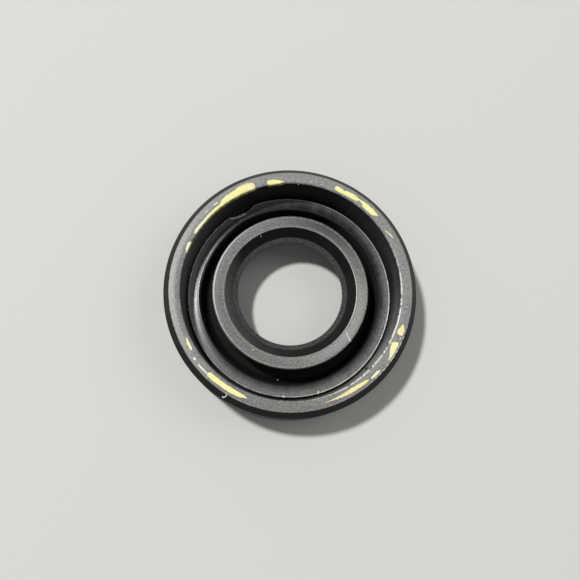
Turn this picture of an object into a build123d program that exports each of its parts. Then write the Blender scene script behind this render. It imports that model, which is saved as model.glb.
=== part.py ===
"""Radial shaft seal, all rubber, with a springless lip: 10 mm shaft, 22 mm housing, 6 mm wide.

The seal is one moulding. Millimetres, +Z up, the shaft's axis on Z. It lies on its back face, with the
origin at that face's centre and the lip's open side up.
"""

from build123d import *

import os
from math import radians, tan

# What the seal fits
shaft_diameter = 10.0
housing_diameter = 22.0
seal_width = 6.0

# Outer wall: it grips the housing, and its lead-in steers it there
lead_in_length = 0.9
lead_in_step = 0.55
rear_chamfer_length = 0.5
rear_chamfer_step = 0.3
rim_face_width = 0.96
wall_draft_angle = 3.2
edge_break = 0.07

# Ledge at the wall's foot, with the narrow groove that the mould's core pinches beside it
ledge_depth = 3.25
ledge_width = 1.12
ledge_rise = 0.15
ledge_bevel = 0.12
pinch_width = 0.2
pinch_depth = 0.5

# Short fill in the ledge's edge, where the rubber didn't reach the pinch groove
short_fill_depth = 0.42
short_fill_curve = 2.7
short_fill_direction = 119.0

# Relief groove between the ledge and the lip, which leaves the back web and the flexible neck
web_thickness = 1.3
relief_draft_width = 0.2
relief_wall_bevel = 0.45
relief_neck_radius = 0.55
neck_thickness = 0.85
neck_height = 1.2
neck_bend_radius = 0.5

# Lip: a thick head on the neck, cut flat on top, with a front cone, a trimmed face and a back cone
lip_interference = 0.76
lip_land_length = 0.2
head_set_back = 0.93
head_face_width = 1.06
head_side_height = 1.1
head_relief_height = 1.0
front_cone_width = 0.66
front_cone_height = 0.89
trim_width = 0.42
trim_height = 0.22
back_cone_angle = 27.0
back_cone_height = 1.43

# Hole in the back web, clear of the shaft
back_clearance = 1.0
back_chamfer = 0.2

# Radii and heights that follow from those sizes
housing_radius = housing_diameter / 2
rim_outer_radius = housing_radius - lead_in_step
rim_inner_radius = rim_outer_radius - rim_face_width
ledge_height = seal_width - ledge_depth
pinch_floor_height = ledge_height - pinch_depth
wall_depth = seal_width - pinch_floor_height
wall_foot_radius = rim_inner_radius - wall_depth * tan(radians(wall_draft_angle))
ledge_edge_radius = wall_foot_radius - pinch_width
relief_outer_radius = ledge_edge_radius - ledge_width

lip_radius = (shaft_diameter - lip_interference) / 2
trim_outer_radius = lip_radius + trim_width
head_inner_radius = trim_outer_radius + front_cone_width
head_outer_radius = head_inner_radius + head_face_width
head_top = seal_width - head_set_back
trim_top = head_top - front_cone_height
lip_top = trim_top - trim_height
lip_bottom = lip_top - lip_land_length
back_cone_foot = lip_bottom - back_cone_height
neck_inner_radius = lip_radius + back_cone_height * tan(radians(back_cone_angle))
neck_outer_radius = neck_inner_radius + neck_thickness
head_side_bottom = head_top - head_side_height
neck_top = head_side_bottom - head_relief_height
neck_bottom = neck_top - neck_height
back_bore_radius = shaft_diameter / 2 + back_clearance
back_bore_top = neck_bottom - (back_bore_radius - neck_inner_radius)

# The relief groove's corners leave a flat on its floor, at least as wide as its wall's draft, and the
# neck's inner wall is no shorter than the radius of the bends at its two ends
relief_floor_width = relief_outer_radius - relief_draft_width - neck_outer_radius
relief_corner_limit = (relief_floor_width - relief_draft_width) / 2
inner_bend_radius = min(neck_bend_radius, back_cone_foot - neck_bottom)


def corner(sketch, point):
    """The sketch's corner that lies at a point given as (radius, height)."""
    return sketch.vertices().sort_by_distance(Vector(*point))[0]


# Corners of the half section, as (radius, height)
rim_outer = (rim_outer_radius, seal_width)
rim_inner = (rim_inner_radius, seal_width)
ledge_inner = (relief_outer_radius, ledge_height + ledge_rise)
relief_floor_outer = (relief_outer_radius - relief_draft_width, web_thickness)
relief_floor_inner = (neck_outer_radius, web_thickness)
neck_outer = (neck_outer_radius, neck_top)
head_side = (head_outer_radius, head_side_bottom)
head_outer = (head_outer_radius, head_top)
head_inner = (head_inner_radius, head_top)
neck_inner = (neck_inner_radius, back_cone_foot)
neck_foot = (neck_inner_radius, neck_bottom)
back_bore = (back_bore_radius, back_bore_top)

with BuildPart() as seal_ring:
    # The moulding is one section turned round the shaft's axis
    with BuildSketch(Plane.XZ) as section:
        with BuildLine():
            Polyline(
                (back_bore_radius + back_chamfer, 0),
                (housing_radius - rear_chamfer_step, 0),
                (housing_radius, rear_chamfer_length),
                (housing_radius, seal_width - lead_in_length),
                rim_outer,
                rim_inner,
                (wall_foot_radius, pinch_floor_height),
                (ledge_edge_radius, pinch_floor_height),
                (ledge_edge_radius, ledge_height),
                ledge_inner,
                relief_floor_outer,
                relief_floor_inner,
                neck_outer,
                head_side,
                head_outer,
                head_inner,
                (trim_outer_radius, trim_top),
                (lip_radius, lip_top),
                (lip_radius, lip_bottom),
                neck_inner,
                neck_foot,
                back_bore,
                (back_bore_radius, back_chamfer),
                close=True,
            )
        make_face()
        sharp_edges = [corner(section, point) for point in (rim_outer, rim_inner, head_outer, head_inner)]
        chamfer(sharp_edges, edge_break)
        chamfer(corner(section, ledge_inner), ledge_bevel)
        chamfer(corner(section, relief_floor_outer), min(relief_wall_bevel, relief_corner_limit))
        fillet(corner(section, relief_floor_inner), min(relief_neck_radius, relief_corner_limit))
        fillet([corner(section, point) for point in (neck_outer, head_side, back_bore)], neck_bend_radius)
        fillet([corner(section, point) for point in (neck_inner, neck_foot)], inner_bend_radius)
    revolve(axis=Axis.Z)

    # The short fill is a shallow bite out of the ledge, open to the pinch groove
    with BuildSketch(Plane.XY.offset(pinch_floor_height)):
        with PolarLocations(
            ledge_edge_radius - short_fill_depth + short_fill_curve,
            1,
            start_angle=short_fill_direction,
        ):
            Circle(short_fill_curve)
        Circle(wall_foot_radius, mode=Mode.INTERSECT)
    extrude(amount=seal_width - pinch_floor_height, mode=Mode.SUBTRACT)

seal_ring.part.label = "seal_ring"

os.makedirs("parts", exist_ok=True)
export_step(seal_ring.part, "parts/seal_ring.step")
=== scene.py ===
"""Looks of a radial shaft seal: a ring of moulded nitrile rubber with paint left on its rim.

Sizes are written in millimetres and put into the meshes in metres. +Z up, the shaft's axis on Z.
"""

from functools import partial

import bmesh
import bpy
import numpy as np
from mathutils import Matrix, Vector


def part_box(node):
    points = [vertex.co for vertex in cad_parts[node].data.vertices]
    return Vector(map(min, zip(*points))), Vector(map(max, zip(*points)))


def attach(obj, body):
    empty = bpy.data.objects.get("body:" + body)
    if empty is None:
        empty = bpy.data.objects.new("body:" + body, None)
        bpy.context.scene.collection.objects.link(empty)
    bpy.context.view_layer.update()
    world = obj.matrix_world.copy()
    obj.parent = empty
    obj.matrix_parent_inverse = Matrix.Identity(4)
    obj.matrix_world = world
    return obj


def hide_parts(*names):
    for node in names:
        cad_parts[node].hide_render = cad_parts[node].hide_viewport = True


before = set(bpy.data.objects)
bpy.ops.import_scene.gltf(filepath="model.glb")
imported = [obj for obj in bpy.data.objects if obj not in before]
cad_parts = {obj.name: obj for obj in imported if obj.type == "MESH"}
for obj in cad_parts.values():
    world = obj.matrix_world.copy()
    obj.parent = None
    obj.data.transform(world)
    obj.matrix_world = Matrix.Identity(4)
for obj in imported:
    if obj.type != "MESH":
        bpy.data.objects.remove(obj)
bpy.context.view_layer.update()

# ---------------------------------------------------------------------------------------------------------
# Seal ring: one moulding of black nitrile rubber, a section turned round the shaft's axis. It is moulded
# between two mould halves and a core, then its flash is cut off at the rim and at the lip's head, which
# leaves those two flat faces greyer and their edges a little ragged.
# ---------------------------------------------------------------------------------------------------------
MM = 0.001
ring_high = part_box("seal_ring")[1]
HOUSING_RADIUS = round(ring_high.x / MM, 2)
SEAL_WIDTH = round(ring_high.z / MM, 2)

# Outer wall, with the chamfer at its back, its lead-in and the crowned rim. The paint lies on the rim
# within the seal's width, so the rubber's own rim face is lower by the room for it
REAR_CHAMFER_LENGTH, REAR_CHAMFER_STEP = 0.5, 0.3
LEAD_IN_BOTTOM = SEAL_WIDTH - 0.9
PAINT_ROOM = 0.016
RIM_TOP = SEAL_WIDTH - PAINT_ROOM
RIM_CROWN, RIM_PEAK = 0.045, 0.012
RIM_OUTER_RADIUS = HOUSING_RADIUS - 0.53
RIM_INNER_RADIUS = RIM_OUTER_RADIUS - 0.98
RIM_MIDDLE_RADIUS = (RIM_OUTER_RADIUS + RIM_INNER_RADIUS) / 2

# Pinch groove at the wall's foot, ledge with its trough and the flash on its edge, relief groove and web
WALL_FOOT_RADIUS = RIM_INNER_RADIUS - 0.21
LEDGE_EDGE_RADIUS = WALL_FOOT_RADIUS - 0.2
LEDGE_HEIGHT = SEAL_WIDTH - 3.25
PINCH_FLOOR = LEDGE_HEIGHT - 0.5
FLASH_HEIGHT, FLASH_WIDTH = 0.045, 0.1
TROUGH_RADIUS = LEDGE_EDGE_RADIUS - 0.61
TROUGH_HEIGHT = LEDGE_HEIGHT + 0.01
LEDGE_RISE = 0.13
RELIEF_RADIUS = LEDGE_EDGE_RADIUS - 1.12
RELIEF_DRAFT = 0.08
WEB_THICKNESS = 1.3

# Lip: a head on a flexible neck, with a front cone, a trimmed face, the sealing edge and a back cone
NECK_OUTER_RADIUS, NECK_INNER_RADIUS = 6.2, 5.35
HEAD_OUTER_RADIUS, HEAD_INNER_RADIUS = 6.8, 5.755
HEAD_MIDDLE_RADIUS = (HEAD_OUTER_RADIUS + HEAD_INNER_RADIUS) / 2
HEAD_TOP = SEAL_WIDTH - 0.93
HEAD_CROWN = 0.03
HEAD_SIDE_BOTTOM = HEAD_TOP - 1.1
NECK_TOP = HEAD_TOP - 2.1
LIP_RADIUS = 4.62
TRIM_RADIUS = LIP_RADIUS + 0.42
TRIM_TOP = HEAD_TOP - 0.89
LIP_TOP = HEAD_TOP - 1.11
LIP_BOTTOM = HEAD_TOP - 1.31
BACK_CONE_FOOT = HEAD_TOP - 2.74
NECK_FOOT = HEAD_TOP - 3.3
BACK_BORE_RADIUS, BACK_BORE_CHAMFER = 6.0, 0.2
BACK_BORE_TOP = HEAD_TOP - 3.95

# Corners of the section: name, radius, height, rounding radius and how grey the face after the corner is,
# from -1 deep in the groove, where the black is darkened as painted shade, through 0 as moulded and 1 as
# cut to 2 as torn. The flash edge's 1.2 is partly a painted highlight along the ledge's edge. The rubber
# lies on their left
SECTION = (
    ("back_chamfer", BACK_BORE_RADIUS + BACK_BORE_CHAMFER, 0.0, 0.05, 0.0),
    ("back_edge", HOUSING_RADIUS - REAR_CHAMFER_STEP, 0.0, 0.08, 0.0),
    ("rear_chamfer", HOUSING_RADIUS, REAR_CHAMFER_LENGTH, 0.15, 0.0),
    ("lead_in", HOUSING_RADIUS, LEAD_IN_BOTTOM, 0.2, 0.04),
    ("rim_outer", RIM_OUTER_RADIUS, RIM_TOP - RIM_CROWN, 0.09, 1.12),
    ("rim_middle", RIM_MIDDLE_RADIUS, RIM_TOP + RIM_PEAK, 2.8, 1.12),
    ("rim_inner", RIM_INNER_RADIUS, RIM_TOP - RIM_CROWN, 0.13, 0.0),
    ("wall_foot", WALL_FOOT_RADIUS, PINCH_FLOOR, 0.04, 0.0),
    ("pinch_floor", LEDGE_EDGE_RADIUS, PINCH_FLOOR, 0.04, 0.1),
    ("ledge_edge", LEDGE_EDGE_RADIUS, LEDGE_HEIGHT + FLASH_HEIGHT, 0.04, 1.2),
    ("flash_foot", LEDGE_EDGE_RADIUS - FLASH_WIDTH, TROUGH_HEIGHT, 0.12, 0.05),
    ("ledge_trough", TROUGH_RADIUS, TROUGH_HEIGHT, 2.3, 0.05),
    ("ledge_inner", RELIEF_RADIUS, LEDGE_HEIGHT + LEDGE_RISE, 0.15, 0.0),
    ("relief_wall", RELIEF_RADIUS - RELIEF_DRAFT, WEB_THICKNESS, 0.6, -1.0),
    ("relief_neck", NECK_OUTER_RADIUS, WEB_THICKNESS, 0.6, -1.0),
    ("neck_outer", NECK_OUTER_RADIUS, NECK_TOP, 0.5, 0.0),
    ("head_side", HEAD_OUTER_RADIUS, HEAD_SIDE_BOTTOM, 0.5, 0.0),
    ("head_outer", HEAD_OUTER_RADIUS, HEAD_TOP - HEAD_CROWN, 0.15, 1.0),
    ("head_middle", HEAD_MIDDLE_RADIUS, HEAD_TOP, 4.0, 1.0),
    ("head_inner", HEAD_INNER_RADIUS, HEAD_TOP - HEAD_CROWN, 0.07, 0.05),
    ("trim_outer", TRIM_RADIUS, TRIM_TOP, 0.06, 0.3),
    ("lip_top", LIP_RADIUS, LIP_TOP, 0.03, 0.2),
    ("lip_bottom", LIP_RADIUS, LIP_BOTTOM, 0.04, 0.0),
    ("neck_inner", NECK_INNER_RADIUS, BACK_CONE_FOOT, 0.5, 0.0),
    ("neck_foot", NECK_INNER_RADIUS, NECK_FOOT, 0.5, 0.0),
    ("back_bore", BACK_BORE_RADIUS, BACK_BORE_TOP, 0.5, 0.0),
    ("back_bore_edge", BACK_BORE_RADIUS, BACK_BORE_CHAMFER, 0.05, 0.0),
)
CORNER_AT = {corner[0]: place for place, corner in enumerate(SECTION)}
ARC_POINTS = 4
CORNER_POINTS = ARC_POINTS + 2
EDGE_MARGIN = 0.03
RING_STEPS = 600


def round_section(corners, rounding):
    """Points along a closed outline whose corners are arcs, and the corner that each point belongs to.

    A corner at P, with unit vectors a and b towards its neighbours and an angle w between them, gets an arc
    of radius R whose centre lies R / sin(w / 2) from P along a + b. The arc's points turn evenly from its
    start on a to its end on b, and one more point on each side keeps the straights' shading flat.
    """
    to_last = np.roll(corners, 1, axis=0) - corners
    to_next = np.roll(corners, -1, axis=0) - corners
    to_last /= np.linalg.norm(to_last, axis=1, keepdims=True)
    to_next /= np.linalg.norm(to_next, axis=1, keepdims=True)
    half = np.arccos(np.clip(np.sum(to_last * to_next, axis=1), -1, 1)) / 2
    middle = to_last + to_next
    middle /= np.linalg.norm(middle, axis=1, keepdims=True)
    centre = corners + middle * (rounding / np.sin(half))[:, None]
    tangent = (rounding / np.tan(half))[:, None]
    start = corners + to_last * tangent - centre
    end = corners + to_next * tangent - centre
    turn = (np.pi - 2 * half)[:, None, None]
    step = np.linspace(0, 1, ARC_POINTS)[None, :, None]
    arc = centre[:, None] + (
        np.sin((1 - step) * turn) * start[:, None] + np.sin(step * turn) * end[:, None]
    ) / np.sin(turn)
    before = arc[:, :1] + to_last[:, None] * EDGE_MARGIN
    after = arc[:, -1:] + to_next[:, None] * EDGE_MARGIN
    points = np.concatenate([before, arc, after], axis=1)
    owner = np.repeat(np.arange(len(corners)), CORNER_POINTS)
    return points.reshape(-1, 2), owner


def wander(angle, seed, waves, fade=0.5):
    """An uneven line round the ring, from about -1 to 1.

    It is a sum of cosines of angle with the given whole numbers of waves round the ring, random phases and
    amplitudes that fall as waves to the power of -fade.
    """
    random = np.random.default_rng(seed)
    waves = np.asarray(waves)
    size = waves ** -float(fade) * random.uniform(0.5, 1, len(waves))
    phase = random.uniform(0, 2 * np.pi, len(waves))
    line = (size[:, None] * np.cos(waves[:, None] * angle[None, :] + phase[:, None])).sum(axis=0)
    return line / np.abs(line).max()


def bump_at(angle, centre, width):
    """One smooth bump round the ring, 1 at centre and 0 beyond width, both in degrees: a raised cosine."""
    off = (np.degrees(angle) - centre + 180) % 360 - 180
    return np.where(np.abs(off) < width, 0.5 + 0.5 * np.cos(np.pi * off / width), 0.0)


def grid_mesh(name, points, closed_ends=True):
    """A closed shell of quads over points [u, v, xyz] in mm.

    The grid joins up in v. In u it joins up too, or else a face closes each end.
    """
    rows, columns = points.shape[:2]
    u, v = np.meshgrid(np.arange(rows if closed_ends else rows - 1), np.arange(columns), indexing="ij")
    next_u, next_v = (u + 1) % rows, (v + 1) % columns
    quads = np.stack(
        [u * columns + v, next_u * columns + v, next_u * columns + next_v, u * columns + next_v], axis=-1
    )
    faces = quads.reshape(-1, 4).tolist()
    if not closed_ends:
        faces += [list(range(columns))[::-1], list(range((rows - 1) * columns, rows * columns))]
    mesh = bpy.data.meshes.new(name)
    mesh.from_pydata((points.reshape(-1, 3) * MM).tolist(), [], faces)
    outward = bmesh.new()
    outward.from_mesh(mesh)
    bmesh.ops.recalc_face_normals(outward, faces=outward.faces)
    outward.to_mesh(mesh)
    outward.free()
    mesh.shade_smooth()
    return mesh


def set_attribute(mesh, name, kind, values):
    """Puts one value or colour a point on a mesh."""
    field = "color" if kind == "FLOAT_COLOR" else "value"
    mesh.attributes.new(name, kind, "POINT").data.foreach_set(field, np.asarray(values, np.float32).ravel())


def piece_of(name, mesh, *materials):
    """A shown object at the origin that carries a mesh and its materials."""
    for material in materials:
        mesh.materials.append(material)
    piece = bpy.data.objects.new(name, mesh)
    bpy.context.scene.collection.objects.link(piece)
    return piece


corner_points = np.array([corner[1:3] for corner in SECTION])
section, owner = round_section(corner_points, np.array([corner[3] for corner in SECTION]))
ring_angle = np.linspace(0, 2 * np.pi, RING_STEPS, endpoint=False)
radius = np.repeat(section[None, :, 0], RING_STEPS, axis=0)
height = np.repeat(section[None, :, 1], RING_STEPS, axis=0)


def shift(field, corners, amount):
    """Moves the section's points at the named corners by an amount that changes round the ring."""
    for name in corners:
        field[:, owner == CORNER_AT[name]] += amount[:, None]


# A rubber ring isn't quite round, and its cut edges wander by a few hundredths of a millimetre
OUT_OF_ROUND = 0.012
ROUND_WAVES, FINE_WAVES = np.arange(2, 7), np.arange(30, 150)
EDGE_WANDER = (
    (radius, "rim_inner", 0.02),
    (height, "rim_inner", 0.012),
    (radius, "rim_outer", 0.015),
    (radius, "head_outer", 0.012),
    (radius, "head_inner", 0.01),
    (height, "ledge_edge", 0.03),
    (radius, "ledge_edge", 0.02),
)
radius += OUT_OF_ROUND * (wander(ring_angle, 3, ROUND_WAVES)[:, None] - 1)
for seed, (field, corner, size) in enumerate(EDGE_WANDER, start=5):
    shift(field, [corner], size * wander(ring_angle, seed, FINE_WAVES))

# Short fill: a bite of radius BITE_CURVE out of the ledge's edge, where the rubber didn't reach the core
BITE_DIRECTION, BITE_CURVE, BITE_DEPTH = 119.0, 2.7, 0.42
bite_centre = LEDGE_EDGE_RADIUS - BITE_DEPTH + BITE_CURVE
off_bite = ring_angle - np.radians(BITE_DIRECTION)
inside = BITE_CURVE**2 - (bite_centre * np.sin(off_bite)) ** 2
bite_edge = bite_centre * np.cos(off_bite) - np.sqrt(np.maximum(inside, 0))
bite = np.where((inside > 0) & (np.cos(off_bite) > 0), np.minimum(bite_edge - LEDGE_EDGE_RADIUS, 0), 0)
shift(radius, ["pinch_floor", "ledge_edge", "flash_foot"], bite)

# The flash left on the ledge's edge: a torn lip and a spot in the short fill, more of it standing on the
# near right, and hardly any on the far right. Further down, the standing flash is also painted paler as a
# painted highlight, and the bare edge darker as painted shade
torn_lip = bump_at(ring_angle, 123.2, 4.6)
torn_spot = bump_at(ring_angle, 119.3, 1.5)
standing_lit_flash = bump_at(ring_angle, 305, 48)
bare_shaded_edge = bump_at(ring_angle, 68, 56) ** 0.4
flash_rise = 0.07 * torn_lip + 0.09 * torn_spot + 0.035 * standing_lit_flash - 0.035 * bare_shaded_edge
shift(height, ["ledge_edge"], flash_rise)

# The rim's inner edge is torn rather than cut where the flash was thickest, in breaks of uneven length,
# which stand up a little. Further down these breaks, and short dashes along the outer edge, are painted
# pale as painted highlights
BREAK_WAVES, BREAK_GROUPS = np.arange(50, 170), np.arange(6, 30)
OUTER_DASH_WAVES, OUTER_DASH_GROUPS = np.arange(45, 150), np.arange(5, 14)
TORN_RISE, TORN_INWARD = 0.025, 0.012
tear = 2.6 * wander(ring_angle, 12, BREAK_WAVES, 0) + 1.5 * wander(ring_angle, 16, BREAK_GROUPS, 0)
torn_glinting_edge = bump_at(ring_angle, 331, 60) ** 0.7 * np.clip(tear + 1.3, 0, 1)
outer_dashes = 3 * wander(ring_angle, 13, OUTER_DASH_WAVES, 0.2) + 1.2 * wander(ring_angle, 15, OUTER_DASH_GROUPS, 0)
outer_edge_glints = bump_at(ring_angle, 328, 26) ** 0.7 * np.clip(outer_dashes + 0.5, 0, 1)
shift(height, ["rim_inner"], TORN_RISE * torn_glinting_edge)
shift(radius, ["rim_inner"], -TORN_INWARD * torn_glinting_edge)

# How grey the rubber is: it changes from face to face within each corner's arc
face_grey = np.array([corner[4] for corner in SECTION])
point_place = np.arange(len(owner)) % CORNER_POINTS
turn_part = np.clip((point_place - 1) / (ARC_POINTS - 1), 0, 1)
grey = np.roll(face_grey, 1)[owner] * (1 - turn_part) + face_grey[owner] * turn_part
grey = np.repeat(grey[None, :], RING_STEPS, axis=0)


def tint(corner, amount, first=0, last=CORNER_POINTS - 1):
    """Makes a corner's points, from first to last, greyer by an amount that changes round the ring."""
    chosen = (owner == CORNER_AT[corner]) & (point_place >= first) & (point_place <= last)
    grey[:, chosen] += amount[:, None]


# Painted light: the rubber is made greyer from side to side as painted highlights, where the lamps light it
# or its edges would shine, and blacker in places as painted shade. For each stretch: the corner, the first
# and last of its points, how much greyer it is all round, and bumps of grey, each with its height, azimuth
# and half-width in degrees
PAINTED_LIGHT = (
    ("head_middle", 0, 5, 0, (
        (0.2, 312, 45), (-0.9, 60, 65), (-0.35, 200, 110), (-0.12, 243, 40), (0.14, 352, 40),
        (-0.12, 122, 40))),
    ("head_outer", 2, 4, 0.25, ((0.75, 165, 70), (-0.35, 70, 75))),
    ("head_inner", 1, 3, 0, ((0.7, 350, 75),)),
    ("head_inner", 4, 5, -0.04, ((0.55, 190, 90), (-0.6, 90, 85))),
    ("trim_outer", 0, 1, 0, ((0.3, 190, 90), (-0.6, 90, 85))),
    ("rim_middle", 0, 5, 0, ((-0.25, 262, 60),)),
    ("rim_middle", 0, 2, 0, ((0.22, 175, 62),)),
    ("rim_middle", 3, 5, 0, ((-0.1, 182, 60),)),
    ("rim_outer", 3, 5, 0, ((0.3, 178, 62),)),
    # Painted shade on the lead-in's near side, up to the rim's outer edge
    ("rim_outer", 0, 0, 0, ((-1.0, 275, 90),)),
    ("lead_in", 3, 5, 0, ((-1.0, 275, 90),)),
    # Painted highlight: the bright crescent along the ledge's inner edge on the left
    ("ledge_inner", 0, 5, 0, ((1.2, 152, 30),)),
    ("ledge_inner", 0, 0, 0, ((0.1, 70, 55),)),
    ("ledge_edge", 0, 5, 0, ((0.7, 155, 55), (-1.0, 112.5, 6))),
)
for corner, first, last, all_round, bumps in PAINTED_LIGHT:
    bump_sum = sum(size * bump_at(ring_angle, centre, width) for size, centre, width in bumps)
    tint(corner, all_round + bump_sum, first, last)

# Partly bloom on the wall and partly painted sheen: greyer on the near right, where the key lamp grazes it,
# and on the left, where the fill lights it, fading away to both sides
bloom_and_painted_sheen = 1.5 * bump_at(ring_angle, 319, 54) + 0.72 * bump_at(ring_angle, 165, 60)
tint("wall_foot", 0.8 * bloom_and_painted_sheen)
tint("rim_inner", bloom_and_painted_sheen, first=ARC_POINTS)

# The ledge's outer half is greyer on the near side and a little on the right, and its grey is patchy all
# round
PATCH_WAVES = np.arange(8, 70)
near_ledge_grey = 0.65 * bump_at(ring_angle, 305, 165) + 0.3 * bump_at(ring_angle, 0, 60)
patchy = wander(ring_angle, 18, PATCH_WAVES, 0.3)
in_trough = owner == CORNER_AT["ledge_trough"]
grey[:, in_trough] += near_ledge_grey[:, None] * (1 - turn_part[in_trough])
tint("flash_foot", near_ledge_grey + 0.12 * patchy)
tint("ledge_trough", 0.15 * patchy)

# Torn edges are the palest. The standing flash and the rim's breaks and dashes are painted paler too, as
# painted highlights, and the ledge's bare edge and the head's outer edge on the far side darker, as painted
# shade in a ragged line
EDGE_SHADE_WAVES = np.arange(50, 180)
edge_shade_pattern = 2.5 * wander(ring_angle, 17, EDGE_SHADE_WAVES, 0)
far_edge_shade = bump_at(ring_angle, 65, 80) * np.clip(edge_shade_pattern, 0, 1)
tint("ledge_edge", 0.9 * torn_lip + 1.1 * torn_spot + 0.8 * standing_lit_flash - bare_shaded_edge)
tint("rim_middle", 0.25 * torn_glinting_edge, first=CORNER_POINTS - 1)
tint("rim_inner", 0.9 * torn_glinting_edge, last=0)
tint("rim_inner", 1.8 * torn_glinting_edge, first=1, last=3)
tint("rim_outer", 1.9 * outer_edge_glints, first=2, last=4)
tint("head_outer", -0.5 * far_edge_shade, first=2)

ring_points = np.stack(
    [radius * np.cos(ring_angle)[:, None], radius * np.sin(ring_angle)[:, None], height], axis=-1
)
ring_mesh = grid_mesh("seal_ring_rubber", ring_points)
set_attribute(ring_mesh, "grey", "FLOAT", grey)

# Finishes: as moulded, cut where flash was trimmed off a flat, and smooth on the ledge and along the edges.
# A face goes by the point that it starts from: one runs into a corner's arc, the next lie in it, and the
# last two run on to the next corner
MOULDED, CUT, SMOOTH = range(3)
face_corner = np.tile(owner, RING_STEPS)
face_place = np.tile(point_place, RING_STEPS)
in_arc = (face_place >= 1) & (face_place < ARC_POINTS)
finish = np.full(len(face_corner), MOULDED, np.int32)
for first, last in (("rim_outer", "rim_inner"), ("head_outer", "head_inner")):
    first, last = CORNER_AT[first], CORNER_AT[last]
    finish[(face_corner >= first) & (face_corner <= last)] = CUT
    finish[(face_corner == first) & (face_place < 1)] = MOULDED
    finish[(face_corner == last) & (face_place >= ARC_POINTS)] = MOULDED
    finish[np.isin(face_corner, (first, last)) & in_arc] = SMOOTH
finish[(face_corner >= CORNER_AT["ledge_edge"]) & (face_corner < CORNER_AT["ledge_inner"])] = SMOOTH
finish[(face_corner == CORNER_AT["ledge_inner"]) & (face_place < 1)] = SMOOTH
ring_mesh.polygons.foreach_set("material_index", finish)


def srgb(code):
    """The linear colour of an sRGB hex code: c / 12.92 below 0.04045, else ((c + 0.055) / 1.055) ** 2.4."""
    value = np.array([int(code[i : i + 2], 16) for i in (1, 3, 5)]) / 255
    linear = np.where(value <= 0.04045, value / 12.92, ((value + 0.055) / 1.055) ** 2.4)
    return (*linear.tolist(), 1.0)


def node(look, kind, inputs=None, **settings):
    """A shader node of a material or world, with its settings and links.

    Each input, by its name or its number, takes a value, a socket, or a node whose first live output is
    linked to it.
    """
    made = look.node_tree.nodes.new(kind)
    for name, value in settings.items():
        setattr(made, name, value)
    for key, value in (inputs or {}).items():
        if isinstance(key, str):
            inlet = next(socket for socket in made.inputs if socket.name == key and socket.enabled)
        else:
            inlet = made.inputs[key]
        if isinstance(value, bpy.types.Node):
            value = next(socket for socket in value.outputs if socket.enabled)
        if isinstance(value, bpy.types.NodeSocket):
            look.node_tree.links.new(value, inlet)
        else:
            inlet.default_value = value
    return made


def bare_material(name):
    """A node material with only its output left."""
    material = bpy.data.materials.new(name)
    material.use_nodes = True
    for old in list(material.node_tree.nodes):
        if old.type != "OUTPUT_MATERIAL":
            material.node_tree.nodes.remove(old)
    return material


def surface(material, shader):
    """Links a shader to the material's output."""
    output = next(n for n in material.node_tree.nodes if n.type == "OUTPUT_MATERIAL")
    material.node_tree.links.new(shader.outputs[0], output.inputs["Surface"])


# Colours of the rubber, from painted shade deep in the groove through moulded and cut to torn, whose pale
# grey also paints highlights on edges and on the ledge, and its patterns: size, detail and roughness of the
# filler's grain, of the mottle on a cut face and of the clouds where it has bloomed. The real grain is
# finer, and is drawn as coarse as it needs to show
GROOVE_SHADE, FRESH_BLACK, WARM_BLACK = "#0b0b0b", "#181818", "#1f1f1e"
COOL_GREY, WARM_GREY, GRAIN_GREY, TORN_AND_GLINT_GREY = "#40434c", "#57554c", "#8c8c8a", "#d9d8d2"
RUBBER_PATTERNS = ((0.08, 2.0, 0.6), (0.18, 4.0, 0.75), (1.6, 2.0, 0.6))
GRAIN_DEPTH = 0.012


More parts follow.
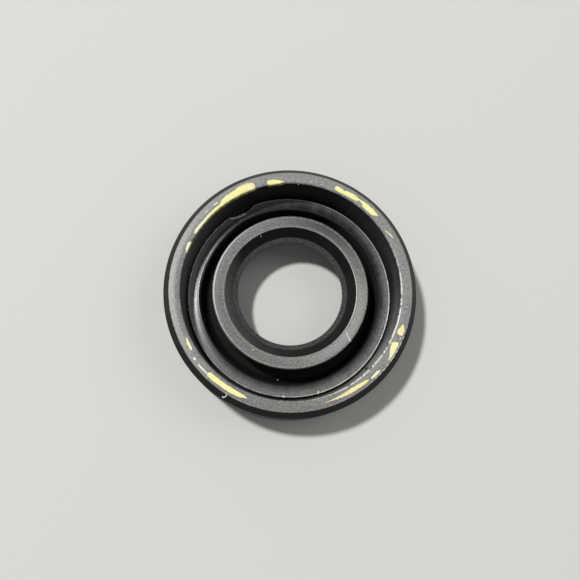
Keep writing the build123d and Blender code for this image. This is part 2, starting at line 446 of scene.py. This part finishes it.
def nitrile(name, specular, smooth, rough, sheen):
    """Nitrile rubber filled with carbon black: near-black as moulded, grey where it was cut or rubbed.

    The eye sees soot black with a faint warm cast, and on the cut faces a fine mottle of cool and warm
    greys from the torn filler and what has bloomed on it. The mesh's grey attribute says how far it is
    from black: besides the cut faces' grey it carries painted highlights and painted shade that change
    round the ring, and below 0 it darkens the groove as painted shade.
    """
    material = bare_material(name)
    add = partial(node, material)
    place = add("ShaderNodeTexCoord").outputs["Object"]
    fade = add("ShaderNodeAttribute", attribute_name="grey").outputs["Fac"]
    grain, flecks, clouds = (
        add(
            "ShaderNodeTexNoise",
            {"Vector": place, "Scale": 1 / (size * MM), "Detail": detail, "Roughness": roughness},
        )
        for size, detail, roughness in RUBBER_PATTERNS
    )
    ranges = ((flecks, 0.35, 0.65), (clouds, 0.35, 0.65), (fade, -1.0, 0.0), (fade, 1.0, 2.0))
    mottle, cloud, out_of_groove_shade, torn = (
        add("ShaderNodeMapRange", {"Value": value, "From Min": low, "From Max": high})
        for value, low, high in ranges
    )
    moulded = add(
        "ShaderNodeMix", {"Factor": cloud, "A": srgb(FRESH_BLACK), "B": srgb(WARM_BLACK)}, data_type="RGBA"
    )
    # Below 0 the black darkens further, as painted shade deep in the groove
    black = add("ShaderNodeMix", {"Factor": out_of_groove_shade, "A": srgb(GROOVE_SHADE), "B": moulded}, data_type="RGBA")
    bloomed_grey = add(
        "ShaderNodeMix", {"Factor": cloud, "A": srgb(COOL_GREY), "B": srgb(WARM_GREY)}, data_type="RGBA"
    )
    cut_grey = add(
        "ShaderNodeMix", {"Factor": mottle, "A": bloomed_grey, "B": srgb(GRAIN_GREY)}, data_type="RGBA"
    )
    rubber = add("ShaderNodeMix", {"Factor": fade, "A": black, "B": cut_grey}, data_type="RGBA")
    # Above 1 the grey runs on to the torn grey: torn rubber, and also painted highlights on the rim's and
    # head's edges and along the ledge
    colour = add("ShaderNodeMix", {"Factor": torn, "A": rubber, "B": srgb(TORN_AND_GLINT_GREY)}, data_type="RGBA")
    roughness = {"Value": grain, "From Min": 0.3, "From Max": 0.7, "To Min": smooth, "To Max": rough}
    relief = {"Height": grain, "Strength": 0.35, "Distance": GRAIN_DEPTH * MM}
    shader = add(
        "ShaderNodeBsdfPrincipled",
        {
            "Base Color": colour,
            "Roughness": add("ShaderNodeMapRange", roughness),
            "IOR": 1.52,
            "Specular IOR Level": specular,
            "Sheen Weight": sheen,
            "Sheen Roughness": 0.4,
            "Normal": add("ShaderNodeBump", relief),
        },
    )
    surface(material, shader)
    return material


# As moulded it hardly shines, a cut face is matt with a faint sheen, and the smooth edges shine softly
seal_ring = piece_of(
    "seal_ring_rubber",
    ring_mesh,
    nitrile("nitrile_rubber_moulded", specular=0.06, smooth=0.42, rough=0.55, sheen=0.04),
    nitrile("nitrile_rubber_cut_flash", specular=0.45, smooth=0.45, rough=0.58, sheen=0.1),
    nitrile("nitrile_rubber_smooth", specular=0.66, smooth=0.22, rough=0.33, sheen=0.1),
)
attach(seal_ring, "root")
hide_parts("seal_ring")

# ---------------------------------------------------------------------------------------------------------
# Paint: what is left of a yellow colour mark on the rim. Each remnant is a film with feathered edges that
# follows the rubber, thickest in its middle and thin enough at its border for the black to show through.
# ---------------------------------------------------------------------------------------------------------
# Thickness, how deep the underside and the border lie in the rubber, the feathered and ragged border, the
# grid's steps, and the length of one degree round the rim
PAINT_THICKNESS = 0.012
PAINT_SUNK, BORDER_SUNK = 0.012, 0.003
PAINT_FEATHER, FEATHER_SHARE = 0.06, 0.3
PAINT_RAGGED, NARROW_FILM = 0.02, 0.3
PAINT_STEP, FEWEST_ROWS = 0.03, 6
PAINT_COLUMNS = 12
RIM_DEGREE = np.pi / 180 * 10
YELLOW, CREAM, ORANGE, TAN, CHALK, OLIVE = "#f7f29a", "#f5f4d2", "#f5dfa0", "#d9c597", "#efeee6", "#8a8412"

# Each remnant: name, colours from its start to its end, how well it covers, then stations of azimuth in
# degrees with the inner and outer reach on the rim. A reach below the rim's inner radius runs down the wall
REMNANTS = (
    ("scratch", (CREAM,), 1, (
        (27, 10, 10.08), (29.2, 9.92, 10.06), (31.3, 9.82, 9.94), (32.6, 9.77, 9.85))),
    ("far_right", (YELLOW,), 1, (
        (40.4, 10.09, 10.14), (41.5, 9.93, 10.17), (42.7, 9.74, 10.21), (45.3, 9.7, 10.24),
        (49.6, 9.7, 10.22), (50.7, 9.9, 10.2), (52.8, 9.98, 10.16), (54.3, 9.76, 10.18),
        (57.3, 9.7, 10.23), (60.3, 9.69, 10.17), (61.8, 9.69, 10.06), (63.3, 9.68, 10.13),
        (65.9, 9.71, 10.19), (66.9, 9.82, 10.12))),
    ("far", (YELLOW,), 1, (
        (93.2, 9.64, 9.7), (95.2, 9.52, 9.79), (98.2, 9.4, 9.94), (101.2, 9.42, 9.96),
        (102.4, 9.59, 9.84))),
    ("far_left", (ORANGE, YELLOW, YELLOW, YELLOW, CREAM, CREAM), 1, (
        (108.6, 9.64, 9.94), (109.6, 9.47, 10.13), (113.1, 9.43, 10.15), (117.1, 9.41, 10.17),
        (121.1, 9.41, 10.09), (125.1, 9.43, 10.07), (127.6, 9.45, 9.97), (129.3, 9.47, 9.81),
        (134, 9.47, 9.78), (140, 9.47, 9.77), (144, 9.48, 9.8), (148.5, 9.49, 9.82), (149.8, 9.55, 9.73))),
    ("far_run", (OLIVE,), 0.62, (
        (93.2, 9.3, 9.45), (95.2, 9.1, 9.54), (101.1, 9.08, 9.54), (102.6, 9.3, 9.45))),
    ("far_left_run", (OLIVE,), 0.62, (
        (108, 9.3, 9.45), (109.5, 9.1, 9.54), (116, 9, 9.54), (124, 9, 9.54), (132, 9.05, 9.54),
        (145, 9.1, 9.52), (151, 9.1, 9.47), (160, 9.1, 9.5), (163, 9.3, 9.45))),
    ("far_left_upper", (ORANGE,), 0.9, (
        (110.6, 10.12, 10.17), (112.6, 10.13, 10.24), (116.1, 10.13, 10.26), (118.4, 10.12, 10.19))),
    ("left", (CREAM,), 1, (
        (154.4, 9.5, 9.66), (155.6, 9.44, 9.81), (158.9, 9.44, 9.76), (160.7, 9.48, 9.6))),
    ("near_left", (YELLOW, CREAM), 1, (
        (205.4, 9.76, 9.9), (206.6, 9.73, 9.97), (208.7, 9.74, 10.03), (211.2, 9.77, 10.04),
        (212.2, 9.83, 9.99))),
    ("near", (YELLOW,), 1, (
        (225.5, 9.95, 10.2), (226.7, 9.79, 10.27), (229.7, 9.77, 10.27), (234.7, 9.77, 10.24),
        (239.7, 9.75, 10.25), (243.7, 9.78, 10.22), (246.2, 9.83, 10.14), (248.1, 9.94, 10.04))),
    ("near_right", (TAN, TAN, ORANGE, YELLOW, YELLOW), 1, (
        (286, 10.02, 10.08), (291, 9.94, 10.13), (294, 9.89, 10.17), (297.5, 9.86, 10.21),
        (301, 9.81, 10.22), (304, 9.83, 10.22), (306.4, 9.9, 10.23), (308.5, 9.97, 10.24),
        (310.1, 10.06, 10.19))),
    ("right_fleck", (CREAM,), 0.9, (
        (311.2, 10.12, 10.29), (312.5, 10.04, 10.33), (315.5, 10.05, 10.34), (317.3, 10.15, 10.3))),
    ("right_wedge", (CREAM, YELLOW), 1, (
        (323.3, 10.22, 10.3), (325, 10.12, 10.34), (327, 9.93, 10.36), (329.6, 9.77, 10.36),
        (331.6, 9.7, 10.35), (332.7, 9.87, 10.32), (333.4, 10.05, 10.25))),
    ("right", (ORANGE, YELLOW), 1, (
        (336.6, 9.95, 10.25), (337.3, 9.77, 10.36), (338.8, 9.75, 10.37), (340.1, 9.81, 10.33),
        (341.6, 9.93, 10.19), (342.6, 10, 10.07))),
    ("speck_73", (CHALK,), 0.9, ((73.5, 9.77, 9.82), (73.8, 9.74, 9.87), (74.1, 9.78, 9.82))),
    ("speck_79", (CHALK,), 0.9, ((79.4, 9.77, 9.82), (79.7, 9.74, 9.87), (80, 9.78, 9.82))),
    ("speck_217", (CHALK,), 1, (
        (215.3, 10.05, 10.17), (216, 10, 10.24), (216.6, 10, 10.24), (217.2, 10.05, 10.19))),
    ("speck_335", (CHALK,), 1, ((334.9, 10.2, 10.26), (335.3, 10.17, 10.31), (335.9, 10.19, 10.27))),
    ("streak_223", (CHALK,), 1, (
        (219.3, 10.08, 10.22), (220.7, 10.02, 10.25), (223.7, 10.02, 10.23), (225.8, 10.03, 10.16))),
    ("streak_133", (CHALK,), 1, (
        (129.6, 9.92, 10.04), (130.4, 9.91, 10.08), (131.6, 9.94, 10.1), (132.4, 9.98, 10.08))),
    ("streak_137", (CHALK,), 0.7, ((135.9, 10, 10.07), (137, 9.98, 10.1), (138.3, 10.02, 10.1))),
)

# Distance along the section, counted so that it equals the radius on the rim
section_step = np.linalg.norm(np.diff(section, axis=0), axis=1)
section_length = np.concatenate([[0], np.cumsum(section_step)])
on_rim = np.flatnonzero(owner == CORNER_AT["rim_middle"])
middle_at = on_rim[np.argmin(np.abs(section[on_rim, 0] - RIM_MIDDLE_RADIUS))]
section_reach = section[middle_at, 0] - (section_length - section_length[middle_at])
ring_normals = np.cross(
    np.roll(ring_points, -1, axis=0) - np.roll(ring_points, 1, axis=0),
    np.roll(ring_points, -1, axis=1) - np.roll(ring_points, 1, axis=1),
)
ring_normals /= np.linalg.norm(ring_normals, axis=-1, keepdims=True)


def on_ring(azimuth, reach, lift):
    """Points on the rubber, in mm, lifted off it by a given height.

    The azimuth in degrees and the reach along the section pick a place on the ring's grid, where the point
    and the normal are blended from the four corners of the cell around it.
    """
    row = (azimuth / 360 * RING_STEPS) % RING_STEPS
    column = np.interp(-reach, -section_reach, np.arange(len(section_reach)))
    row_low, column_low = np.floor(row).astype(int), np.floor(column).astype(int)
    row_part, column_part = (row - row_low)[..., None], (column - column_low)[..., None]
    row_high, column_high = (row_low + 1) % RING_STEPS, np.minimum(column_low + 1, len(section) - 1)
    row_low %= RING_STEPS

    def blend(field):
        low = field[row_low, column_low] * (1 - column_part) + field[row_low, column_high] * column_part
        high = field[row_high, column_low] * (1 - column_part) + field[row_high, column_high] * column_part
        return low * (1 - row_part) + high * row_part

    return blend(ring_points) + blend(ring_normals) * lift[..., None]


def film(name, colours, cover, stations, seed, from_rim=0.0, thickness=PAINT_THICKNESS):
    """One remnant as a closed film over the rubber.

    Its two long borders join the stations and wander a little, less where the film is narrow. Its top rises
    from under the rubber's surface to its full thickness within PAINT_FEATHER of the border, or within
    FEATHER_SHARE of its width if that is less, as f * f * (3 - 2 * f) of the share f of that way. A film
    that covers less is thinner. Its colours follow one another evenly from its start to its end.
    """
    azimuth, inner, outer = np.array(stations, float).T + np.array([[0], [from_rim], [from_rim]])
    rows = max(FEWEST_ROWS, int((azimuth[-1] - azimuth[0]) * RIM_DEGREE / PAINT_STEP))
    along = np.linspace(azimuth[0], azimuth[-1], rows)
    low, high = np.interp(along, azimuth, inner), np.interp(along, azimuth, outer)
    ragged = np.random.default_rng(seed).normal(0, 1, (2, rows + 2))
    ragged = (ragged[:, :-2] + 2 * ragged[:, 1:-1] + ragged[:, 2:]) / 4
    ragged *= PAINT_RAGGED * np.minimum(1, (high - low) / NARROW_FILM)
    low, high = low + ragged[0], high + ragged[1]
    across = np.linspace(0, 1, PAINT_COLUMNS)
    place = low[:, None] + (high - low)[:, None] * across
    to_border = np.minimum(place - low[:, None], high[:, None] - place)
    to_end = np.minimum(along - along[0], along[-1] - along)[:, None] * RIM_DEGREE
    feather = np.minimum(PAINT_FEATHER, FEATHER_SHARE * (high - low))[:, None]
    full = np.clip(np.minimum(to_border, to_end) / feather, 0, 1)
    full = full * full * (3 - 2 * full)
    around = np.repeat(along[:, None], PAINT_COLUMNS, axis=1)
    top = on_ring(around, place, (thickness * cover + BORDER_SUNK) * full - BORDER_SUNK)
    bottom = on_ring(around, place, np.full_like(place, -PAINT_SUNK))
    mesh = grid_mesh(name, np.concatenate([top, bottom[:, ::-1]], axis=1), closed_ends=False)
    set_attribute(mesh, "cover", "FLOAT", np.concatenate([full * cover, 0 * full], axis=1))
    codes = np.array([srgb(colour) for colour in colours])
    share = np.linspace(0, len(codes) - 1, rows)
    shades = np.stack([np.interp(share, np.arange(len(codes)), channel) for channel in codes.T], axis=-1)
    set_attribute(mesh, "paint", "FLOAT_COLOR", np.repeat(shades[:, None], 2 * PAINT_COLUMNS, axis=1))
    return mesh


# Paint where it has dried palest, the stain where it is thin, and its patterns: size and detail of the
# flakes that wear has left and of the brush's streaks
DRY_PAINT, THIN_STAIN = "#faf7c6", "#4b4a3c"
PAINT_PATTERNS = ((0.09, 3.0), (0.35, 2.0))
FLAKE_DEPTH = 0.01


def worn_paint():
    """Alkyd colour-mark paint, brushed on and worn thin.

    The eye sees a matt, chalky yellow that goes olive where the black shows through.
    """
    material = bare_material("alkyd_paint_worn")
    add = partial(node, material)
    place = add("ShaderNodeTexCoord").outputs["Object"]
    cover = add("ShaderNodeAttribute", attribute_name="cover").outputs["Fac"]
    paint = add("ShaderNodeAttribute", attribute_name="paint").outputs["Color"]
    flakes, streaks = (
        add(
            "ShaderNodeTexNoise",
            {"Vector": place, "Scale": 1 / (size * MM), "Detail": detail, "Roughness": 0.6},
        )
        for size, detail in PAINT_PATTERNS
    )
    edge = add("ShaderNodeMath", {0: flakes, 1: 0.9}, operation="MULTIPLY")
    level = add("ShaderNodeMath", {0: cover, 1: edge}, operation="ADD")
    thickness = add("ShaderNodeMapRange", {"Value": level, "From Min": 0.75, "From Max": 1.1})
    dryness = add("ShaderNodeMapRange", {"Value": streaks, "From Min": 0.4, "From Max": 0.7})
    pale = add("ShaderNodeMix", {"Factor": dryness, "A": paint, "B": srgb(DRY_PAINT)}, data_type="RGBA")
    colour = add("ShaderNodeMix", {"Factor": thickness, "A": srgb(THIN_STAIN), "B": pale}, data_type="RGBA")
    relief = {"Height": flakes, "Strength": 0.4, "Distance": FLAKE_DEPTH * MM}
    shader = add(
        "ShaderNodeBsdfPrincipled",
        {
            "Base Color": colour,
            "Roughness": 0.6,
            "IOR": 1.5,
            "Specular IOR Level": 0.4,
            "Normal": add("ShaderNodeBump", relief),
        },
    )
    surface(material, shader)
    return material


paint_material = worn_paint()
for seed, (name, colours, cover, stations) in enumerate(REMNANTS):
    name = f"paint_{name}"
    remnant = piece_of(name, film(name, colours, cover, stations, seed), paint_material)
    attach(remnant, "root")

# ---------------------------------------------------------------------------------------------------------
# Torn rubber: the lip of flash left along the short fill's edge, and a scrape across the head's cut face.
# Both are slivers of the same rubber, whitened where it was stressed.
# ---------------------------------------------------------------------------------------------------------
SLIVER_COVER = 0.95
TORN = 2.0


def reach_at(place_radius, place_height):
    """The reach along the section of the place nearest to a radius and height, in mm."""
    length = np.linspace(0, section_length[-1], 6000)
    apart = np.hypot(
        np.interp(length, section_length, section[:, 0]) - place_radius,
        np.interp(length, section_length, section[:, 1]) - place_height,
    )
    return section[middle_at, 0] - (length[np.argmin(apart)] - section_length[middle_at])


# Each sliver: name, seed, where its stations' reaches are counted from, thickness, the rubber's finish and
# its stations. The lip's count from the ledge's edge, and the scrape's are radii on the head
SLIVERS = (
    ("torn_lip", 41, reach_at(LEDGE_EDGE_RADIUS, LEDGE_HEIGHT + FLASH_HEIGHT), 0.1, SMOOTH, (
        (117.4, -0.05, 0.0), (118.3, -0.14, 0.0), (118.8, -0.6, 0.02), (120.0, -0.6, 0.02),
        (120.4, -0.14, 0.0), (121.2, -0.4, 0.0), (122.5, -0.34, 0.0), (124.0, -0.5, 0.0),
        (126.0, -0.38, 0.0), (127.5, -0.08, 0.0))),
    ("head_scratch", 40, reach_at(HEAD_MIDDLE_RADIUS, HEAD_TOP) - HEAD_MIDDLE_RADIUS, 0.012, CUT, (
        (319.2, 6.66, 6.86), (319.9, 6.54, 6.88), (320.4, 6.43, 6.72), (321, 6.29, 6.48),
        (322.4, 6.08, 6.21), (323.9, 5.85, 5.93))),
)
for name, seed, from_rim, thickness, cut_or_smooth, stations in SLIVERS:
    sliver_mesh = film(name, (CHALK,), SLIVER_COVER, stations, seed, from_rim, thickness)
    set_attribute(sliver_mesh, "grey", "FLOAT", np.full(len(sliver_mesh.vertices), TORN))
    sliver = piece_of(name, sliver_mesh, seal_ring.data.materials[cut_or_smooth])
    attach(sliver, "root")

# ---------------------------------------------------------------------------------------------------------
# Lint and dust: a curl of pale cotton thread caught on the lead-in, pale specks that lie on the rubber, and
# a crumb of rubber on the wall, made as black as the groove's painted shade where a pit lies in shade.
LINT_WHITE = "#dfddd4"
THREAD_SIDES = 8
NO_THREADS_WAY = (0.31, 0.17, 0.94)


def thread(name, path, thickness):
    """A tube of changing thickness along a path of points, in mm.

    Each ring of the tube lies square to the path's own direction, around two axes: the cross product of
    that direction with NO_THREADS_WAY, which no thread runs along, and its cross product with the first.
    """
    way = np.gradient(path, axis=0)
    way /= np.linalg.norm(way, axis=1, keepdims=True)
    side = np.cross(way, NO_THREADS_WAY)
    side /= np.linalg.norm(side, axis=1, keepdims=True)
    other = np.cross(way, side)
    turn = np.linspace(0, 2 * np.pi, THREAD_SIDES, endpoint=False)[None, :, None]
    ring = np.cos(turn) * side[:, None] + np.sin(turn) * other[:, None]
    return grid_mesh(name, path[:, None] + ring * (thickness[:, None, None] / 2), closed_ends=False)


def cotton():
    """Cotton lint and pale grit, spun and ground: the eye sees a matt off-white with a soft sheen."""
    material = bare_material("cotton_lint")
    fluff = {"Roughness": 0.9, "Specular IOR Level": 0.3, "Sheen Weight": 0.3}
    shader = node(material, "ShaderNodeBsdfPrincipled", {"Base Color": srgb(LINT_WHITE), **fluff})
    surface(material, shader)
    return material


lint_material = cotton()

# The curl: azimuth, radius and height above the rubber, from its free end. A cubic runs near the five
# places, and the thread stays below the plane of the rim
CURL = (
    (238.0, 10.37, 0.0), (238.8, 10.46, 0.07), (238.9, 10.58, 0.12), (238.3, 10.69, 0.12),
    (237.5, 10.72, 0.08),
)
CURL_POINTS = 25
CURL_THINNEST, CURL_THICKENING = 0.07, 0.06
CURL_UNDER_RIM = 0.01
curl = np.array(CURL)
lead_in_height = np.interp(curl[:, 1], [RIM_OUTER_RADIUS, HOUSING_RADIUS], [SEAL_WIDTH, LEAD_IN_BOTTOM])
curl_reach = np.array([reach_at(*place) for place in zip(curl[:, 1], lead_in_height)])
curl_points = on_ring(curl[:, 0], curl_reach, curl[:, 2])
curl_step = np.linspace(0, 1, len(curl))
fine_step = np.linspace(0, 1, CURL_POINTS)
curl_path = np.vander(fine_step, 4) @ np.polyfit(curl_step, curl_points, 3)
curl_thickness = CURL_THINNEST + CURL_THICKENING * fine_step
curl_path[:, 2] = np.minimum(curl_path[:, 2], SEAL_WIDTH - CURL_UNDER_RIM - curl_thickness / 2)
lint = piece_of("lint_curl", thread("lint_curl", curl_path, curl_thickness), lint_material)
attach(lint, "root")

# Specks and crumb: azimuth, radius, height of the rubber there, heading, length and thickness
SPECKS = (
    (238.0, 6.07, HEAD_TOP, 60, 0.16, 0.14),
    (117.8, 5.6, HEAD_TOP - 0.18, 110, 0.14, 0.06),
    (262.0, 7.5, WEB_THICKNESS, 20, 0.12, 0.1),
    (266.5, 9.03, LEDGE_HEIGHT, -5, 0.4, 0.17),
    (286.2, 9.02, LEDGE_HEIGHT, 80, 0.34, 0.19),
    (73.5, 9.9, SEAL_WIDTH, 0, 0.07, 0.02),
    (90.7, 9.78, SEAL_WIDTH, 0, 0.08, 0.02),
    (85.8, 9.45, SEAL_WIDTH - 0.2, 170, 0.09, 0.06),
)
CRUMB = (314.6, 9.395, 4.3, 45, 0.3213, 0.25)
SPECK_LIFT = 0.35
SPECK_POINTS = 9
BLUNT_END = 0.98
GROOVE_SHADE_GREY = -1.0


def grain(name, place, lift):
    """A rounded grain whose middle is lifted off the rubber by a share of its thickness.

    It is a straight thread of thickness sqrt(1 - (BLUNT_END * s) ** 2) of its own, for s from -1 to 1.
    """
    azimuth, place_radius, place_height, heading, length, thickness = place
    reach = reach_at(place_radius, place_height)
    middle = on_ring(np.array([azimuth]), np.array([reach]), np.array([lift * thickness]))
    along = np.linspace(-1, 1, SPECK_POINTS)
    way = np.array([np.cos(np.radians(heading)), np.sin(np.radians(heading)), 0])
    path = middle + along[:, None] * way * length / 2
    return thread(name, path, thickness * np.sqrt(1 - (BLUNT_END * along) ** 2))


for count, place in enumerate(SPECKS):
    name = f"dust_speck_{count}"
    speck = piece_of(name, grain(name, place, SPECK_LIFT), lint_material)
    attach(speck, "root")

# The crumb takes the groove's painted shade, blacker than the rubber round it
crumb_mesh = grain("rubber_crumb", CRUMB, 0)
set_attribute(crumb_mesh, "grey", "FLOAT", np.full(len(crumb_mesh.vertices), GROOVE_SHADE_GREY))
crumb = piece_of("rubber_crumb", crumb_mesh, seal_ring.data.materials[MOULDED])
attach(crumb, "root")

# ---------------------------------------------------------------------------------------------------------
# Floor, light and camera: a round pale board in a white studio, one small lamp high on the far left that
# gives the rubber its highlights, and a large weak one on the right. The camera looks down, tilted towards
# the near side.
# ---------------------------------------------------------------------------------------------------------
FLOOR_RADIUS = 300.0
FLOOR_SIDES = 128
floor_angle = np.linspace(0, 2 * np.pi, FLOOR_SIDES, endpoint=False)
floor_edge = FLOOR_RADIUS * np.stack([np.cos(floor_angle), np.sin(floor_angle), 0 * floor_angle], axis=-1)
floor_mesh = bpy.data.meshes.new("floor")
floor_mesh.from_pydata((floor_edge * MM).tolist(), [], [list(range(FLOOR_SIDES))])

# Matt painted board: pale, barely warm, with no gloss
BOARD_WHITE = "#dddcd8"
board = bare_material("pale_matt_board")
board_paint = {"Base Color": srgb(BOARD_WHITE), "Roughness": 0.9, "Specular IOR Level": 0.2}
surface(board, node(board, "ShaderNodeBsdfPrincipled", board_paint))
piece_of("floor", floor_mesh, board)

# The backdrop is white to the eye and in reflections, but lights the seal more softly
SOFT_STRENGTH = 0.22
world = bpy.data.worlds.new("studio")
bpy.context.scene.world = world
world.use_nodes = True
backdrop = world.node_tree.nodes["Background"]
backdrop.inputs["Color"].default_value = srgb("#ffffff")
ray = node(world, "ShaderNodeLightPath").outputs
seen = node(
    world, "ShaderNodeMath", {0: ray["Is Camera Ray"], 1: ray["Is Glossy Ray"]}, operation="MAXIMUM"
)
clear = node(world, "ShaderNodeMath", {0: seen, 1: ray["Is Transmission Ray"]}, operation="MAXIMUM")
strength = node(world, "ShaderNodeMapRange", {"Value": clear, "To Min": SOFT_STRENGTH, "To Max": 1.0})
world.node_tree.links.new(strength.outputs["Result"], backdrop.inputs["Strength"])


def way_to(azimuth, from_overhead):
    """The unit vector towards an azimuth and an angle from overhead, both in degrees."""
    turn, tilt = np.radians(azimuth), np.radians(from_overhead)
    return Vector((np.sin(tilt) * np.cos(turn), np.sin(tilt) * np.sin(turn), np.cos(tilt)))


# Lamps: name, azimuth, angle from overhead, size and power in watts
LAMP_DISTANCE = 600.0
LAMPS = (("key", 143.0, 23.5, 52.0, 2.6), ("fill", 18.0, 40.0, 400.0, 0.4))
for name, lamp_azimuth, lamp_zenith, size, power in LAMPS:
    lamp_way = way_to(lamp_azimuth, lamp_zenith)
    lamp_data = bpy.data.lights.new(name, "AREA")
    lamp_data.shape = "DISK"
    lamp_data.size = size * MM
    lamp_data.energy = power
    lamp = bpy.data.objects.new(name, lamp_data)
    lamp.location = lamp_way * LAMP_DISTANCE * MM
    lamp.rotation_mode = "QUATERNION"
    lamp.rotation_quaternion = lamp_way.to_track_quat("Z", "Y")
    bpy.context.scene.collection.objects.link(lamp)

# The camera aims at the middle of the rim's plane, and then stands a little to the left and down
VIEW_AZIMUTH, VIEW_ZENITH, VIEW_DISTANCE = 256.6, 11.14, 66.8
VIEW_LEFT, VIEW_DOWN = 0.102, 0.081
LENS = 48.4
NEAREST_SEEN = 1.0
view_back = way_to(VIEW_AZIMUTH, VIEW_ZENITH)
view_turn = Vector((0, 0, 1)).rotation_difference(view_back)
view_left, view_down = view_turn @ Vector((-1, 0, 0)), view_turn @ Vector((0, -1, 0))
camera_place = Vector((0, 0, SEAL_WIDTH)) + view_back * VIEW_DISTANCE
camera_place += view_left * VIEW_LEFT + view_down * VIEW_DOWN
camera_data = bpy.data.cameras.new("camera")
camera_data.lens = LENS
camera_data.clip_start = NEAREST_SEEN * MM
camera = bpy.data.objects.new("camera", camera_data)
camera.location = camera_place * MM
camera.rotation_mode = "QUATERNION"
camera.rotation_quaternion = view_turn
bpy.context.scene.collection.objects.link(camera)
bpy.context.scene.camera = camera
bpy.context.scene.view_settings.view_transform = "Standard"
